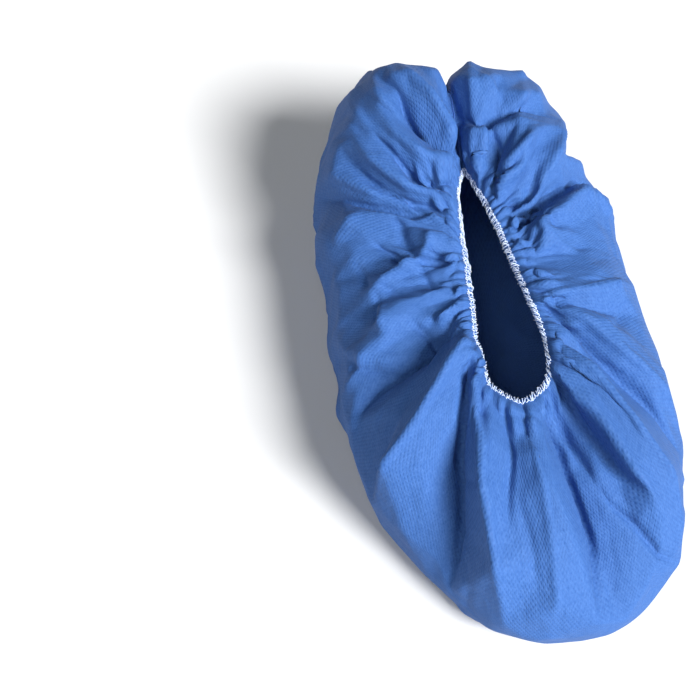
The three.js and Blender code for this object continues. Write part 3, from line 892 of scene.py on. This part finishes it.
def makeSole():
    # rings from the turned-up edge in to the middle, with low creases all over
    rng = np.random.default_rng(sole["seed"])
    outline = closedLine(footLine, sole["columns"])
    out = outwardOf(outline)
    centre = outline.mean(0)
    inward = np.linspace(0, 1, sole["rings"]) ** 0.9
    grid = np.array([(outline - out * sole["edgeIn"]) * (1 - share) + centre * share for share in inward])
    grid[-1] = centre + out * sole["middleHole"]
    turned = np.maximum(0, 1 - inward / sole["turnShare"]) ** 2
    grid[:, :, 2] = sole["level"] + (sole["turnUp"] * turned)[:, None]
    wrinkle = np.zeros(grid.shape[:2])
    for k in range(sole["wrinkles"]):
        heading = rng.uniform(0, np.pi)
        rate = rng.uniform(*sole["wrinkleRate"])
        across = grid[:, :, 0] * math.cos(heading) + grid[:, :, 1] * math.sin(heading)
        wave = np.sin(across * rate + rng.uniform(0, 6))
        wrinkle += (1 - np.abs(wave)) ** 3 / sole["wrinkles"]
    calm = smoothStep(0.0, 0.1, np.linspace(0, 1, len(grid)))[:, None]
    grid[:, :, 2] += wrinkle * sole["wrinkle"] * calm
    along = (inward * sole["halfWidth"])[::-1]
    piece = sheetObject("soleSheet", grid[::-1], sole["girth"], along, soleCloth)
    addWall(piece, sole["thickness"])
    print("sole made")
    return piece


solePiece = makeSole()
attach(solePiece, "root")
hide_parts("sole")

seam = {
    "width": 0.0015, "thickness": 0.0008, "root": 0.0006, "edgeShare": 0.6,   # root is how deep it starts
    "rows": 90, "firstRow": 5, "endRow": -4, "calmPasses": 6,
    "ripple": 0.0001, "rippleRate": 0.9, "loose": 0.00012, "softEdge": 0.00012,
    "cut": (0.0084, 0.13), "seed": 5,         # the weave's own size, round the fold and along it
}


def makeSeam():
    rng = np.random.default_rng(seam["seed"])

    def alongHeel(grid):
        column = grid[seam["firstRow"]:seam["endRow"], 0]
        at = np.linspace(0, len(column) - 1, seam["rows"])
        return np.stack([np.interp(at, np.arange(len(column)), column[:, k]) for k in range(3)], 1)
    spine = alongHeel(coverGrid)
    normals = alongHeel(gridNormals(coverGrid))
    for k in range(seam["calmPasses"]):
        normals[1:-1] = (normals[:-2] + normals[1:-1] * 2 + normals[2:]) / 4
    normals /= np.linalg.norm(normals, axis=1)[:, None]
    ahead = np.gradient(spine, axis=0)
    side = np.cross(ahead, normals)
    side /= np.linalg.norm(side, axis=1)[:, None]
    ripple = np.sin(np.arange(seam["rows"]) * seam["rippleRate"]) * seam["ripple"]
    wave = (ripple + rng.normal(0, seam["loose"], seam["rows"]))[:, None]
    half = seam["thickness"] / 2
    edge = half * seam["edgeShare"]
    width = seam["width"]
    corners = [
        spine + side * half - normals * seam["root"],
        spine + side * (half + wave) + normals * width * 0.5,
        spine + side * (edge + wave * 2) + normals * width,
        spine + side * (-edge + wave * 2) + normals * width,
        spine + side * (-half + wave) + normals * width * 0.5,
        spine - side * half - normals * seam["root"],
    ]
    along = np.linspace(0, seam["cut"][1], seam["rows"])
    piece = sheetObject("heelSeamFold", np.stack(corners, 1), seam["cut"][0], along, seamCloth)
    bevel = piece.modifiers.new("soften", "BEVEL")
    bevel.width = seam["softEdge"]
    bevel.segments = 1
    print("heel seam made")
    return piece


seamPiece = makeSeam()
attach(seamPiece, "root")
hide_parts("heel_seam")


# floor, light and camera

studio = {
    "cameraTurn": -5.0, "cameraHeight": 58.0,      # in degrees, round from the toe and above the floor
    "distance": 0.714, "lens": 70.0,
    "target": (-0.0751, -0.0040, 0.042),
    "ambient": 0.07, "ambientColour": (0.64, 0.81, 1.0, 1), "wall": (0.90, 0.91, 0.92, 1),
    "floor": (0.72, 0.72, 0.72, 1), "floorHalf": 6,      # floorHalf is half the floor's side, in metres
    # name, where it shines from, how many degrees wide it looks, strength
    "lights": [
        ("keyLight", (0.70, -0.74, 0.84), 25.0, 6.7),
        ("fillLight", (-0.50, -0.60, 1.00), 50.0, 1.0),
    ],
}


def makeStudio():
    half = studio["floorHalf"]
    corners = np.array([(-half, -half, 0), (half, -half, 0), (half, half, 0), (-half, half, 0)], float)
    floor = addObject("floor", corners, [(0, 1, 2, 3)])
    paper = bpy.data.materials.new("palePaper")
    paper.use_nodes = True
    shader = paper.node_tree.nodes["Principled BSDF"]
    shader.inputs["Base Color"].default_value = studio["floor"]
    shader.inputs["Roughness"].default_value = 0.9
    floor.data.materials.append(paper)
    world = bpy.data.worlds.new("studio")
    bpy.context.scene.world = world
    world.use_nodes = True
    tree = world.node_tree
    ambient = tree.nodes["Background"]
    ambient.inputs["Color"].default_value = studio["ambientColour"]
    ambient.inputs["Strength"].default_value = studio["ambient"]
    wall = addNode(tree, "ShaderNodeBackground", (0, -200), Color=studio["wall"])
    seen = addNode(tree, "ShaderNodeLightPath", (0, 300))
    both = addNode(tree, "ShaderNodeMixShader", (250, 0))      # a pale wall behind, dim blue light around
    tree.links.new(seen.outputs["Is Camera Ray"], both.inputs[0])
    tree.links.new(ambient.outputs[0], both.inputs[1])
    tree.links.new(wall.outputs[0], both.inputs[2])
    tree.links.new(both.outputs[0], tree.nodes["World Output"].inputs["Surface"])
    for name, place, width, strength in studio["lights"]:
        light = bpy.data.lights.new(name, "SUN")
        light.energy = strength
        light.angle = math.radians(width)
        lamp = bpy.data.objects.new(name, light)
        bpy.context.collection.objects.link(lamp)
        lamp.location = place
        lamp.rotation_euler = Vector(place).to_track_quat("Z", "Y").to_euler()
    turn = math.radians(studio["cameraTurn"])
    height = math.radians(studio["cameraHeight"])
    level = math.cos(height)
    back = Vector((math.sin(turn) * level, -math.cos(turn) * level, math.sin(height)))
    camera = bpy.data.cameras.new("camera")
    camera.lens = studio["lens"]
    camera.sensor_width = 36
    view = bpy.data.objects.new("camera", camera)
    bpy.context.collection.objects.link(view)
    view.location = Vector(studio["target"]) + back * studio["distance"]
    view.rotation_euler = back.to_track_quat("Z", "Y").to_euler()
    bpy.context.scene.camera = view
    bpy.context.scene.view_settings.view_transform = "Standard"
    print("studio made")


makeStudio()
